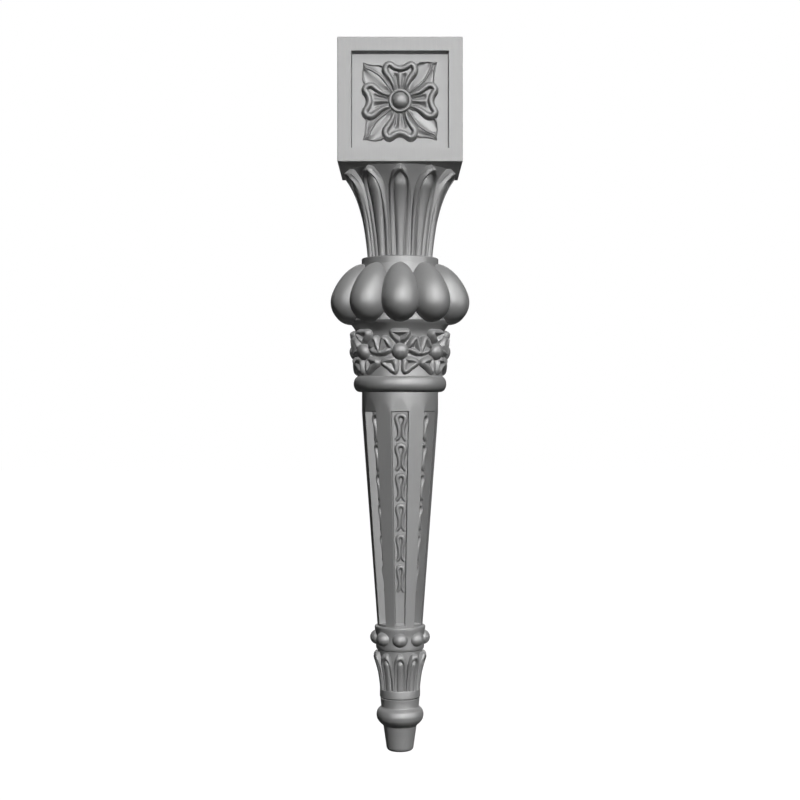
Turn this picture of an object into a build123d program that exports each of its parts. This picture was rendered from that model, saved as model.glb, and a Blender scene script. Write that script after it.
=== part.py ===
from build123d import *

import os
from math import atan, cos, degrees, radians, sin

# A carved and turned furniture leg, made in one piece. The origin is the centre of the
# head block's top face and +Z is up, so the leg hangs down from the origin, and the
# front of the leg faces -Y. All sizes are in millimetres. A "drop" is measured down
# from the top of the member it belongs to, and a "rise" out from what carries it.

# Head block, with a sunk panel in each side
block_side = 125.0
block_height = 124.5
block_arris = 0.6
panel_border = 13.8
panel_sink = 13.6

# Rosette in each sunk panel: a domed button in a ring
ring_radius = 11.6
ring_rise = 7.6
button_radius = 8.4
button_rise = 12.0
button_steps = 2
button_flats = 10

# Rosette: four heart-shaped petals, hollowed inside their rims
petal_root_half_width = 5.0
petal_widest = 29.0
petal_lobe_half_gap = 10.5
petal_lobe_radius = 7.8
petal_reach = 38.8
petal_notch = 4.2
petal_rise = 7.2
petal_lobe_steps = 2
hollow_half_width = 11.5
hollow_start = 15.0
hollow_widest = 30.5
hollow_notch = 27.7
hollow_depth = 3.4

# Rosette: four corner leaves, ridged along their middle
corner_leaf_reach = 37.6
corner_leaf_half_width = 21.0
corner_leaf_rise = 4.4
corner_leaf_edge = 2.4

# Bell under the block
bell_height = 90.8
bell_top_radius = 51.0
bell_throat_radius = 34.0
bell_throat_drop = 45.0
bell_foot_radius = 30.5
bell_steps = 3
bell_flats = 20

# Leaves that stand round the bell and curl out under the block
leaf_count = 10
leaf_tip_radius = 60.4
leaf_tip_drop = 5.1
leaf_tip_bevel = 3.0
leaf_foot_radius = 33.4
leaf_curve = (
    (leaf_tip_radius, leaf_tip_drop),
    (44.5, 20.0),
    (36.8, 52.0),
    (leaf_foot_radius, bell_height),
)
leaf_core_radius = 26.0
leaf_half_width = 11.9
leaf_foot_half_width = 10.2
leaf_spring_drop = 17.0
leaf_point_inset = 2.6  # how much faster the groove's point draws in than its sides
leaf_face_steps = 4
leaf_arch_steps = 2
leaf_rim = 3.6
leaf_groove = 1.9
leaf_groove_depth = 2.2

# Collar above the eggs
collar_height = 7.0
collar_radius = 39.8

# Ring of eggs that lean in at the top, on a flaring bed
egg_count = 10
egg_bed_height = 61.7
egg_bed_radius = 52.0
egg_bed_land = 3.5
egg_radius = 19.8
egg_upper_length = 39.3
egg_lower_length = 23.5
egg_lean = 25.5
egg_centre_radius = 52.8
egg_centre_drop = 37.1
egg_upper_steps = 3
egg_lower_steps = 3
egg_flats = 12

# Waisted band with flowers
band_height = 53.5
band_radius = 43.0
band_cove_height = 17.0
band_cove_middle = (45.7, 7.1)
band_cove_steps = 2
bed_flats = 24
flower_count = 7
flower_drop = 28.5
flower_ball_radius = 8.6
flower_ball_rise = 6.0
flower_ball_steps = 2
flower_ball_flats = 8
flower_root_depth = 10.0
flower_petals = 5
flower_reach = 24.0
flower_shoulder = 20.0
flower_petal_half_width = 10.4
flower_petal_root = 2.5
flower_petal_rise = 6.6
flower_crease = 2.6

# Upper bead
upper_bead_height = 17.5
upper_bead_radius = 48.1
upper_bead_crown_drop = 7.8
upper_bead_steps = 4

# Tapering shaft: plain flats between sunk panels, under a short round neck
shaft_height = 240.5
shaft_neck_height = 20.5
shaft_top_radius = 39.5
shaft_foot_radius = 23.4
shaft_panels = 7
shaft_panel_half_angle = 13.8
shaft_neck_flats = 28
sunk_panel_drop = 18.5
sunk_panel_foot = 3.0
sunk_panel_depth = 8.5
sunk_panel_arris = 0.4

# Chain of loops that stands in each sunk panel. Widths are shares of the panel's half
# width, and the outline's heights are shares of the pitch, because the chain tapers.
loop_count = 6
loop_pitch = 31.1
loop_rise = 3.9
loop_width = 0.84
loop_outline = ((0.6, 0.0), (1.0, 0.22), (0.3, 0.64), (0.95, 0.94))
loop_eye = ((0.42, 0.2), (0.0, 0.56))

# Beaded ring under the shaft
lip_height = 4.5
lip_radius = 26.5
drum_height = 20.0
drum_radius = 24.9
drum_flats = 32
drum_groove_height = 1.0
drum_groove_radius = 23.6
bead_count = 8
bead_radius = 7.8
bead_rise = 6.8
bead_root_depth = 8.0
bead_steps = 3
bead_flats = 10

# Small cup of leaves
cup_height = 39.5
cup_top_radius = 23.0
cup_foot_radius = 18.5
cup_flats = 20
cup_leaf_count = 10
cup_tip_radius = 28.1
cup_tip_drop = 6.0
cup_tip_bevel = 3.0
cup_leaf_foot_radius = 20.1
cup_leaf_curve = (
    (cup_tip_radius, cup_tip_drop),
    (24.5, 17.0),
    (21.5, 27.0),
    (cup_leaf_foot_radius, cup_height),
)
cup_core_radius = 14.5
cup_leaf_half_width = 6.2
cup_leaf_spring_drop = 13.0
cup_face_steps = 3
cup_arch_steps = 2

# Lower collar, neck and bead
low_collar_height = 9.5
low_collar_radius = 21.4
low_collar_foot_radius = 20.5
low_step_height = 1.0
neck_height = 8.7
neck_radius = 19.6
lower_bead_height = 19.8
lower_bead_radius = 24.5
lower_bead_crown_drop = 7.4
lower_bead_steps = 3

# Foot
foot_height = 25.5
foot_top_radius = 17.2
foot_radius = 14.2
foot_bevel = 2.6

sink = 1.0  # how far a carved piece runs into the wood behind it

# Heights of the members' lower ends, from the top of the leg down
block_z = -block_height
bell_z = block_z - bell_height
collar_z = bell_z - collar_height
egg_z = collar_z - egg_bed_height
band_z = egg_z - band_height
upper_bead_z = band_z - upper_bead_height
shaft_z = upper_bead_z - shaft_height
lip_z = shaft_z - lip_height
drum_z = lip_z - drum_height
cup_top_z = drum_z - drum_groove_height
cup_z = cup_top_z - cup_height
low_collar_z = cup_z - low_collar_height
neck_top_z = low_collar_z - low_step_height
neck_z = neck_top_z - neck_height
lower_bead_z = neck_z - lower_bead_height
foot_z = lower_bead_z - foot_height


def facing(out, z, lean=0.0):
    """A plane facing the front, OUT from the axis at height Z, leaning back by LEAN degrees."""
    tilt = radians(lean)
    return Plane(origin=(0, -out, z), x_dir=(1, 0, 0), z_dir=(0, -cos(tilt), sin(tilt)))


def around(shape, count):
    """COUNT copies of a carved piece, evenly round the Z axis."""
    return [Rot(0, 0, 360 * i / count) * shape for i in range(count)]


def stepped(curve, steps):
    """Points (x, y) along a curve, for a round that is cut in a few flat steps."""
    return [(point.X, point.Y) for point in (curve @ (i / steps) for i in range(steps + 1))]


def rounded(start, crown, end, steps):
    return stepped(ThreePointArc(start, crown, end), steps)


def quarter_oval(half_width, length, steps):
    """Points (x, y) from an oval's widest place to its end."""
    turns = [radians(90 * i / steps) for i in range(steps + 1)]
    return [(half_width * cos(turn), length * sin(turn)) for turn in turns]


def dome(radius, base, rise, steps):
    """Points (radius, height) up a dome that ends in a small flat."""
    return [(x, base + y) for x, y in quarter_oval(radius, rise, steps)[:-1]]


def turned(points):
    """A solid turned about Z from a half section of (radius, height) points."""
    axis_ends = [(0, points[-1][1]), (0, points[0][1])]
    section = Plane.XZ * make_face(Polyline(*points, *axis_ends, close=True))
    return revolve(section, Axis.Z)


def cut_round(points, sides):
    """A round carved with flat cuts: like turned(), but with SIDES flats and closed ends."""
    def corner(i, radius, z):
        turn = radians(360 * i / sides)
        return (radius * cos(turn), radius * sin(turn), z)

    flats = []
    for (low_radius, low_z), (high_radius, high_z) in zip(points, points[1:]):
        for i in range(sides):
            flat = [corner(i, low_radius, low_z), corner(i + 1, low_radius, low_z),
                    corner(i + 1, high_radius, high_z), corner(i, high_radius, high_z)]
            flats.append(make_face(Polyline(*flat, close=True)))
    for radius, z in (points[0], points[-1]):
        end = [corner(i, radius, z) for i in range(sides)]
        flats.append(make_face(Polyline(*end, close=True)))
    return Solid(Shell(flats))


def prism(points, low, high):
    """A flat outline with thickness from LOW to HIGH along Z."""
    return Pos(0, 0, low) * extrude(make_face(Polyline(*points, close=True)), high - low)


def both_sides(points):
    """A closed outline from its right half, which starts and ends near the middle line."""
    return points + [(-x, y) for x, y in reversed(points) if x > 0]


def head_block():
    top = (Align.CENTER, Align.CENTER, Align.MAX)
    block = Box(block_side, block_side, block_height, align=top)
    block = chamfer(block.edges().filter_by(Axis.Z), block_arris)
    window = block_side - 2 * panel_border
    floor = facing(block_side / 2 - panel_sink, -block_height / 2)
    recess = extrude(floor * Rectangle(window, window), panel_sink + sink)
    return block - around(recess, 4)


def rosette_button():
    ring = [(ring_radius, -sink), (ring_radius, ring_rise), (button_radius, ring_rise)]
    button = dome(button_radius, ring_rise, button_rise - ring_rise, button_steps)
    return cut_round(ring + button[1:], button_flats)


def rosette_petal():
    """A heart on its point, reaching out along +Y, with a hollow inside its rim."""
    round_end = quarter_oval(petal_lobe_radius, petal_reach - petal_widest, petal_lobe_steps)
    lobe = [(petal_lobe_half_gap + x, petal_widest + y) for x, y in round_end]
    root = (petal_root_half_width, ring_radius - sink)
    heart = both_sides([root] + lobe + [(0, petal_reach - petal_notch)])
    hollow = both_sides([(0, hollow_start), (hollow_half_width, hollow_widest), (0, hollow_notch)])
    whole = prism(heart, -sink, petal_rise)
    return whole - prism(hollow, petal_rise - hollow_depth, petal_rise + sink)


def corner_leaf():
    """A leaf along +Y, which is turned to the panel's corner, with a ridged back."""
    reach = corner_leaf_reach * 2 ** 0.5
    width = corner_leaf_half_width
    outline = both_sides([(0, 0), (width, reach - width), (0, reach)])
    roof = both_sides([(width, -sink), (width, corner_leaf_edge), (0, corner_leaf_rise)])
    ridge = extrude(Plane.XZ * make_face(Polyline(*roof, close=True)), -reach)
    return Rot(0, 0, 45) * (prism(outline, -sink, corner_leaf_rise) & ridge)


def rosette():
    pieces = around(rosette_petal(), 4) + around(corner_leaf(), 4)
    return rosette_button() + pieces


def bell():
    throat = (bell_throat_radius, block_z - bell_throat_drop)
    curve = rounded((bell_top_radius, block_z), throat, (bell_foot_radius, bell_z), bell_steps)
    return cut_round([(bell_top_radius, block_z + sink)] + curve, bell_flats)


def leaf_wedge(curve, top_z, bevel, inset, steps, half_width, core):
    """The wood of one leaf, as wide as it gets, with the curve, set back by INSET, in front."""
    pulls = [(radius - inset, top_z - drop) for radius, drop in curve]
    face = stepped(Bezier(*pulls), steps)
    lip = [(core, top_z + sink), (face[0][0] - bevel, top_z + sink)]
    heel_z = face[-1][1] - sink
    outline = lip + face + [(face[-1][0], heel_z), (core, heel_z)]
    side = make_face(Polyline(*[(-radius, z) for radius, z in outline], close=True))
    return extrude(Plane.YZ * side, half_width + sink, both=True)


def pointed_arch(half_width, rise, steps):
    """Points (x, y) up one side of a pointed arch, to its apex."""
    shares = [i / steps for i in range(steps + 1)]
    return [(half_width * (1 - share**2), rise * share) for share in shares]


def leaf_prism(foot_half_width, foot_z, half_width, spring_z, rise, steps, core, reach):
    """A leaf seen from the front, as a prism that runs out through the leaf's wood."""
    arch = [(x, spring_z + y) for x, y in pointed_arch(half_width, rise, steps)]
    outline = both_sides([(foot_half_width, foot_z)] + arch)
    return extrude(facing(core, 0) * make_face(Polyline(*outline, close=True)), reach)


def leaf_shape(inset):
    return leaf_prism(
        leaf_foot_half_width - inset,
        bell_z - sink,
        leaf_half_width - inset,
        block_z - leaf_spring_drop,
        leaf_spring_drop + sink - leaf_point_inset * inset,
        leaf_arch_steps,
        leaf_core_radius - sink,
        leaf_tip_radius,
    )


def leaf_wood(inset):
    bevel = leaf_tip_bevel
    steps = leaf_face_steps
    width = leaf_half_width
    return leaf_wedge(leaf_curve, block_z, bevel, inset, steps, width, leaf_core_radius)


def leaf():
    groove = leaf_shape(leaf_rim) - leaf_shape(leaf_rim + leaf_groove)
    return (leaf_wood(0) & leaf_shape(0)) - (groove - leaf_wood(leaf_groove_depth))


def egg():
    """An egg turned about its own axis, small end up, leaning in against the collar."""
    top = quarter_oval(egg_radius, egg_upper_length, egg_upper_steps)
    foot = quarter_oval(egg_radius, -egg_lower_length, egg_lower_steps)
    body = cut_round(top[-2::-1] + foot[1:-1], egg_flats)
    place = Plane(
        origin=(0, -egg_centre_radius, collar_z - egg_centre_drop),
        x_dir=(1, 0, 0),
        z_dir=(0, sin(radians(egg_lean)), cos(radians(egg_lean))),
    )
    return place * body


def collar():
    return turned([(collar_radius, bell_z), (collar_radius, collar_z)])


def bed():
    """The flaring bed of the eggs and the waisted band under it."""
    middle_radius, middle_drop = band_cove_middle
    cove = rounded(
        (egg_bed_radius, egg_z),
        (middle_radius, egg_z - middle_drop),
        (band_radius, egg_z - band_cove_height),
        band_cove_steps,
    )
    shoulder = [(collar_radius, collar_z), (egg_bed_radius, egg_z + egg_bed_land)]
    return cut_round(shoulder + cove + [(band_radius, band_z)], bed_flats)


def upper_bead():
    return turned(rounded(
        (band_radius, band_z),
        (upper_bead_radius, band_z - upper_bead_crown_drop),
        (shaft_top_radius, upper_bead_z),
        upper_bead_steps,
    ))


def flower_petal():
    """One petal, reaching out along +Y, creased along its middle."""
    half = flower_petal_half_width
    outline = both_sides([(flower_petal_root, 0), (half, flower_shoulder), (0, flower_reach)])
    low = flower_petal_rise - flower_crease
    dish = both_sides([(0, low), (half, flower_petal_rise), (half, flower_petal_rise + sink)])
    crease = extrude(Plane.XZ * make_face(Polyline(*dish, close=True)), -flower_reach)
    return prism(outline, -flower_root_depth, flower_petal_rise + sink) - crease


def flower():
    base = flower_petal_rise - flower_crease
    crown = dome(flower_ball_radius, base, flower_ball_rise, flower_ball_steps)
    ball = cut_round([(flower_ball_radius, -sink)] + crown, flower_ball_flats)
    return facing(band_radius, egg_z - flower_drop) * (ball + around(flower_petal(), flower_petals))


def facet_corner(z):
    """Distance of the shaft's corners from its axis: it tapers from the foot of its neck."""
    share = (upper_bead_z - shaft_neck_height - z) / (shaft_height - shaft_neck_height)
    return shaft_top_radius + (shaft_foot_radius - shaft_top_radius) * share


def facet_outline(z):
    """The shaft's facets at one height: a wide one for each panel, a narrower flat between."""
    pitch = 360 / shaft_panels
    half = shaft_panel_half_angle
    turns = [radians(i * pitch + side) for i in range(shaft_panels) for side in (-half, half)]
    corner = facet_corner(z)
    outline = [(corner * sin(turn), -corner * cos(turn)) for turn in turns]
    return Plane.XY.offset(z) * make_face(Polyline(*outline, close=True))


def chain(wide, narrow, run):
    """One panel's chain: each link has a round head, pinches in and spreads over the next."""
    edge = []
    eyes = []
    for i in range(loop_count):
        top = i * loop_pitch
        half = loop_width * (wide + (narrow - wide) * (top + loop_pitch / 2) / run)
        edge += [(half * across, -top - down * loop_pitch) for across, down in loop_outline]
        eye = [(half * across, -top - down * loop_pitch) for across, down in loop_eye]
        eyes.append(prism(both_sides(eye), 0, loop_rise + sink))
    return prism(both_sides(edge), -sink, loop_rise) - eyes


def shaft():
    round_top = [(shaft_top_radius, upper_bead_z), (shaft_top_radius, shaft_z)]
    neck = cut_round(round_top, shaft_neck_flats)
    facets = loft([facet_outline(upper_bead_z), facet_outline(shaft_z)], ruled=True)
    top = upper_bead_z - sunk_panel_drop
    foot = shaft_z + sunk_panel_foot
    face = cos(radians(shaft_panel_half_angle))
    slope = (facet_corner(top) - facet_corner(foot)) * face / (top - foot)
    lean = degrees(atan(slope))
    run = (top - foot) / cos(radians(lean))
    half = sin(radians(shaft_panel_half_angle))
    wide = facet_corner(top) * half - sunk_panel_arris
    narrow = facet_corner(foot) * half - sunk_panel_arris
    outline = both_sides([(wide, 0), (narrow, -run)])
    recess = prism(outline, 0, sunk_panel_depth + sink) - chain(wide, narrow, run)
    floor = facing(facet_corner(top) * face, top, -lean).offset(-sunk_panel_depth)
    return (neck & facets) - around(floor * recess, shaft_panels)


def lip():
    return turned([(lip_radius, shaft_z), (lip_radius, lip_z)])


def drum():
    groove = [(drum_groove_radius, drum_z), (drum_groove_radius, cup_top_z)]
    return cut_round([(drum_radius, lip_z), (drum_radius, drum_z)] + groove, drum_flats)


def bead():
    """A round bead half sunk in the drum, turned about its own outward axis."""
    ball = dome(bead_radius, 0, bead_rise, bead_steps)
    place = facing(drum_radius, (lip_z + drum_z) / 2)
    return place * cut_round([(bead_radius, -bead_root_depth)] + ball, bead_flats)


def cup():
    return cut_round([(cup_top_radius, cup_top_z), (cup_foot_radius, cup_z)], cup_flats)


def cup_leaf():
    bevel = cup_tip_bevel
    steps = cup_face_steps
    width = cup_leaf_half_width
    wood = leaf_wedge(cup_leaf_curve, cup_top_z, bevel, 0, steps, width, cup_core_radius)
    rise = cup_leaf_spring_drop - sink
    spring_z = cup_top_z - cup_leaf_spring_drop
    foot_z = cup_z - sink
    return wood & leaf_prism(
        width, foot_z, width, spring_z, rise, cup_arch_steps, cup_core_radius - sink, cup_tip_radius
    )


def lower_turning():
    """Lower collar, neck, bead and foot."""
    collar = [(low_collar_radius, cup_z), (low_collar_foot_radius, low_collar_z)]
    bead_curve = rounded(
        (neck_radius, neck_z),
        (lower_bead_radius, neck_z - lower_bead_crown_drop),
        (foot_top_radius, lower_bead_z),
        lower_bead_steps,
    )
    foot = [(foot_radius, foot_z + foot_bevel), (foot_radius - foot_bevel, foot_z)]
    return turned(collar + [(neck_radius, neck_top_z)] + bead_curve + foot)


def carved_leg():
    panel_floor = facing(block_side / 2 - panel_sink, -block_height / 2)
    head = head_block() + around(panel_floor * rosette(), 4)
    capital = bell() + around(leaf(), leaf_count)
    middle = collar() + bed() + around(egg(), egg_count) + around(flower(), flower_count)
    ring = lip() + drum() + around(bead(), bead_count)
    small_cup = cup() + around(cup_leaf(), cup_leaf_count)
    return head + [capital, middle, upper_bead(), shaft(), ring, small_cup, lower_turning()]


def main():
    os.makedirs("parts", exist_ok=True)
    leg = carved_leg()
    leg.label = "carved_leg"
    export_step(leg, "parts/carved_leg.step")
    print("solids", len(leg.solids()), "volume", round(leg.volume), "size", leg.bounding_box().size)


main()
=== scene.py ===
# %% [markdown]
# # A carved and turned table leg
# This leg is one piece of wood. A square head block carries a sunk rosette on each side, and under
# it come turned members that a carver has worked over: a bell of leaves, a ring of eggs, a band of
# flowers, a tapering shaft with chains in sunk panels, a beaded ring, a cup of small leaves and a
# plain foot. The plain solid of the leg is loaded first, as a frame. Each carved member is then
# built over it as a mesh, in the same place and to the same sizes.

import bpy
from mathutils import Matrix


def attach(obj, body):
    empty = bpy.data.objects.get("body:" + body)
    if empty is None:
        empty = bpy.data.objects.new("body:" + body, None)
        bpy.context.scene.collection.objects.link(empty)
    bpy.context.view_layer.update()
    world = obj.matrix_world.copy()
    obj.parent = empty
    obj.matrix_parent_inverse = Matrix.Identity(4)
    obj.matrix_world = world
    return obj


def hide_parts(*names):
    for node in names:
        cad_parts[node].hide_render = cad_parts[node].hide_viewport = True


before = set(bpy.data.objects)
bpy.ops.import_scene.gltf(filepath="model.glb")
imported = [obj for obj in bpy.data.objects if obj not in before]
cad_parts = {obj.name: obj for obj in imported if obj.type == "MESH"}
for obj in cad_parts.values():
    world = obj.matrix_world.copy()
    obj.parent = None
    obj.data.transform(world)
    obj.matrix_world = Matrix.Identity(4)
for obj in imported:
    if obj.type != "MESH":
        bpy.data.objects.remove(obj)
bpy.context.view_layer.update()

# %% [markdown]
# ## The camera
# The photograph was taken dead in front of the leg with a level camera at half the leg's height.
# Two things show it: the block's sides and the shaft's axis stand parallel, and the turned rings
# bow up above that height and down below it. A longish lens of about 66 mm from a metre and a half
# gives the same bows, so it is set first and every piece is judged through it.

# %% Set up the camera
from math import cos, pi, radians, sin

import bpy

lens_mm = 65.59
camera_distance = 1.51375
camera_height = -0.3619

camera_data = bpy.data.cameras.new("camera")
camera_data.lens = lens_mm
camera_data.sensor_width = 36.0
camera = bpy.data.objects.new("camera", camera_data)
camera.location = (0.0, -camera_distance, camera_height)
camera.rotation_euler = (radians(90), 0.0, 0.0)
bpy.context.scene.collection.objects.link(camera)
bpy.context.scene.camera = camera
print("camera at", tuple(round(v, 3) for v in camera.location))

# %% [markdown]
# ## A skin over rows of points
# Nearly everything on this leg can be drawn as rows of points with a skin stretched over them: a
# turned member is a stack of rings, a leaf is a nest of ever smaller outlines, a strand of the
# chain is a row of arches along a path. So one helper makes the faces between the rows. Lids close
# the ends, because a real piece has no open edges. Sizes are written in millimetres, as a maker
# would, and are turned into metres only when the mesh is made.

# %% Stretch a skin over rows of points
import numpy as np


def skin(rows, ring=False, lids=()):
    """(points, faces) over ROWS (row, point, xyz). RING joins each row's end to its start."""
    rows = np.asarray(rows, float)
    index = np.arange(rows.shape[0] * rows.shape[1]).reshape(rows.shape[:2])
    if ring:
        index = np.hstack([index, index[:, :1]])
    corners = (index[:-1, :-1], index[:-1, 1:], index[1:, 1:], index[1:, :-1])
    faces = np.stack(corners, -1).reshape(-1, 4).tolist()
    if ring:
        index = index[:, :-1]
    if "start" in lids:
        faces.append(index[0].tolist())
    if "end" in lids:
        faces.append(index[-1].tolist())
    if "heel" in lids:
        faces.append(index[:, 0].tolist() + index[::-1, -1].tolist())
    if "sides" in lids:
        faces += [index[:, 0].tolist(), index[:, -1].tolist()]
    return rows.reshape(-1, 3), faces


sample = skin(np.zeros((4, 5, 3)), ring=True)
print("a skin over 4 rings of 5 points has", len(sample[1]), "faces")

# %% Turn a set of skins into one object
import bmesh

MM = 0.001


def carve(name, skins, crease=40):
    """One mesh object from SKINS in millimetres, smooth but for edges sharper than CREASE degrees."""
    points, faces, start = [], [], 0
    for skin_points, skin_faces in skins:
        points.append(skin_points)
        faces += [[i + start for i in face] for face in skin_faces]
        start += len(skin_points)
    mesh = bpy.data.meshes.new(name)
    mesh.from_pydata((np.vstack(points) * MM).tolist(), [], faces)
    work = bmesh.new()
    work.from_mesh(mesh)
    bmesh.ops.remove_doubles(work, verts=work.verts, dist=1e-6)
    bmesh.ops.dissolve_degenerate(work, edges=work.edges, dist=1e-7)
    bmesh.ops.recalc_face_normals(work, faces=work.faces)
    work.to_mesh(mesh)
    work.free()
    mesh.shade_smooth()
    mesh.set_sharp_from_angle(angle=radians(crease))
    piece = bpy.data.objects.new(name, mesh)
    bpy.context.scene.collection.objects.link(piece)
    print(name, "has", sum(len(p.vertices) - 2 for p in mesh.polygons), "triangles")
    return piece


# %% Copies round the axis
def spun(skins, count):
    """COUNT copies of SKINS, evenly round the leg's axis, or round the middle of flat work."""
    copies = []
    for i in range(count):
        turn = radians(360 * i / count)
        wheel = np.array([[cos(turn), sin(turn), 0], [-sin(turn), cos(turn), 0], [0, 0, 1]])
        copies += [(points @ wheel, faces) for points, faces in skins]
    return copies


print("four copies of one skin:", len(spun([sample], 4)), "skins")

# %% [markdown]
# ## Smooth lines and turned members
# A turner works to a profile: a few marked points with fair curves between them. The same idea
# works here. A line that flows through a handful of points gives the profile, and turning it
# through a full circle gives the member. A Catmull-Rom curve is used because it passes through
# each point, so the numbers are the real radii and heights.

# %% Lines that flow through points
def flow(points, steps):
    """A smooth line through POINTS, with STEPS pieces between each two."""
    p = np.asarray(points, float)
    p = np.vstack([2 * p[0] - p[1], p, 2 * p[-1] - p[-2]])
    t = np.linspace(0, 1, steps, endpoint=False)[:, None]
    line = [
        0.5 * (2 * b + (c - a) * t + (2 * a - 5 * b + 4 * c - d) * t**2 + (3 * (b - c) + d - a) * t**3)
        for a, b, c, d in zip(p, p[1:], p[2:], p[3:])
    ]
    return np.vstack(line + [p[-2:-1]])


def follow(points, at, steps=8):
    """The second coordinate of the smooth line through POINTS, where the first one is AT."""
    line = flow(points, steps)
    return np.interp(at, line[:, 0], line[:, 1])


def ease(x, low, high):
    """0 below LOW, 1 above HIGH, and a soft step between."""
    share = np.clip((np.asarray(x, float) - low) / (high - low), 0, 1)
    return share * share * (3 - 2 * share)


print("half way up a soft step:", float(ease(0.5, 0, 1)))

# %% Turned members
def turned(profile, sides=160, lids=("start", "end")):
    """A skin turned about the leg's axis from a PROFILE of (radius, height) points."""
    turn = np.linspace(0, 2 * pi, sides, endpoint=False)
    rows = [
        np.stack([radius * np.sin(turn), -radius * np.cos(turn), np.full(sides, z)], -1)
        for radius, z in profile
    ]
    return skin(rows, ring=True, lids=lids)


def arc(centre, radii, start, end, steps):
    """Points on an oval arc round CENTRE, from START to END degrees."""
    turn = np.radians(np.linspace(start, end, steps + 1))
    return np.stack([centre[0] + radii[0] * np.cos(turn), centre[1] + radii[1] * np.sin(turn)], -1)


print("a quarter arc ends at", arc((0, 0), (1, 1), 0, 90, 4)[-1].round(6))

# %% [markdown]
# ## Heights of the members
# The origin is the middle of the block's top face, and the leg hangs down from it. Each member's
# height is measured on its own, and the places where one ends and the next starts follow from
# adding them up, as on a turner's marking stick.

# %% Heights of the members
member_heights = {
    "block": 124.5,
    "bell": 90.8,
    "collar": 7.0,
    "eggs": 61.7,
    "band": 53.5,
    "upper_bead": 17.5,
    "shaft": 240.5,
    "lip": 4.5,
    "drum": 20.0,
    "drum_groove": 1.0,
    "cup": 39.5,
    "low_collar": 9.5,
    "low_groove": 1.0,
    "neck": 8.7,
    "lower_bead": 19.8,
    "foot": 25.5,
}
foot_of, level = {}, 0.0
for member, height in member_heights.items():
    level -= height
    foot_of[member] = level
print("the leg is", round(-level, 3), "mm long")

# %% [markdown]
# ## The head block
# On the real leg the block is sawn square, and a panel is sunk into each side with a chisel, which
# leaves walls that lean a little. In Blender a cube does the same: inset each side face to mark the
# border, extrude the middle inwards for the sunk floor and draw it in slightly, then bevel the
# block's own edges, because a perfectly sharp edge never catches the light.

# %% The head block
block_side = 125.0
panel_border = 13.8
panel_sink = 13.6
wall_lean = 0.6
block_edge = 0.7
longest_inner_edge = 100.0


def head_block():
    height = member_heights["block"]
    drawn_in_share = 2 * wall_lean / (block_side - 2 * panel_border)
    work = bmesh.new()
    bmesh.ops.create_cube(work, size=1.0)
    bmesh.ops.scale(work, vec=(block_side, block_side, height), verts=work.verts)
    bmesh.ops.translate(work, vec=(0, 0, -height / 2), verts=work.verts)
    sides = [face for face in work.faces if abs(face.normal.z) < 0.5]
    bmesh.ops.inset_individual(work, faces=sides, thickness=panel_border, use_even_offset=True)
    for face in sides:
        inward = face.normal * -panel_sink
        floor = bmesh.ops.extrude_discrete_faces(work, faces=[face])["faces"][0]
        middle = floor.calc_center_median()
        for vert in floor.verts:
            vert.co += (middle - vert.co) * drawn_in_share
        bmesh.ops.translate(work, vec=inward, verts=floor.verts)
    outer = [edge for edge in work.edges if edge.calc_length() > longest_inner_edge]
    bmesh.ops.bevel(work, geom=outer, offset=block_edge, segments=3, profile=0.5, affect="EDGES")
    work.verts.ensure_lookup_table()
    points = np.array([vert.co[:] for vert in work.verts])
    faces = [[vert.index for vert in face.verts] for face in work.faces]
    work.free()
    return points, faces


block = carve("head_block", [head_block()], crease=10)

# %% [markdown]
# ## The rosette: button and ring
# In the middle of each sunk panel sits a flower of four heart-shaped petals. Its eye is a domed
# button inside a raised ring. Both are round about the panel's own axis, so they are drawn as a
# profile of (distance from the middle, rise above the panel's floor) and turned. The rosette is
# worked flat first, as (across, up, rise), and then stood on the panel.

# %% Stand flat work on the panels
rosette_stretch = 1.045  # the real rosette is a little taller than wide


def on_panels(skins):
    """Flat work (across, up, rise), stood on the sunk floor of all four sides."""
    stood = []
    for points, faces in skins:
        across, up, rise = points.T
        out = block_side / 2 - panel_sink + rise
        z = up * rosette_stretch - member_heights["block"] / 2
        stood.append((np.stack([across, -out, z], -1), faces))
    return spun(stood, 4)


def flat_turned(profile, sides=64):
    """A round about the panel's axis, from (radius, rise) points."""
    turn = np.linspace(0, 2 * pi, sides, endpoint=False)
    rows = [
        np.stack([radius * np.cos(turn), radius * np.sin(turn), np.full(sides, rise)], -1)
        for radius, rise in profile
    ]
    return skin(rows, ring=True, lids=("start", "end"))


ring_profile = flow([(11.7, 4.6), (11.5, 6.0), (10.7, 7.2), (9.7, 7.4), (8.9, 6.9), (8.3, 5.6)], 3)
button_profile = arc((0, 5.0), (8.0, 6.6), 2, 88, 12)
eye = flat_turned(np.vstack([[(11.7, -1.0)], ring_profile, [(8.1, 4.8)], button_profile]))
print("the rosette's eye has", len(eye[1]), "faces")

# %% [markdown]
# ## The rosette: petals
# Each petal is a heart with a thick rolled rim and a hollow floor, in which two flutes fan out
# from the eye. A carver cuts the outline first and then works inwards, and the mesh does too: the
# outline is repeated further and further in, each time at the rim's height for that distance, and
# the last one is drawn together towards the petal's middle line over the fluted floor. That way
# the edges of the mesh follow the carving, which a square grid of heights would not.

# %% Outlines that repeat inwards
def way_in(outline):
    """For each point of a closed OUTLINE, the way straight in and how far the middle line is."""
    ahead = np.roll(outline, -1, axis=0) - np.roll(outline, 1, axis=0)
    inward = np.stack([-ahead[:, 1], ahead[:, 0]], -1)
    inward /= np.linalg.norm(inward, axis=1)[:, None]
    gap = outline[None] - outline[:, None]
    facing = (gap * inward[:, None]).sum(-1)
    reach = (gap**2).sum(-1) / (2 * np.where(facing > 1e-6, facing, 1e-6))
    return inward, np.where(facing > 1e-6, reach, 1e6).min(axis=1)


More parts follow.
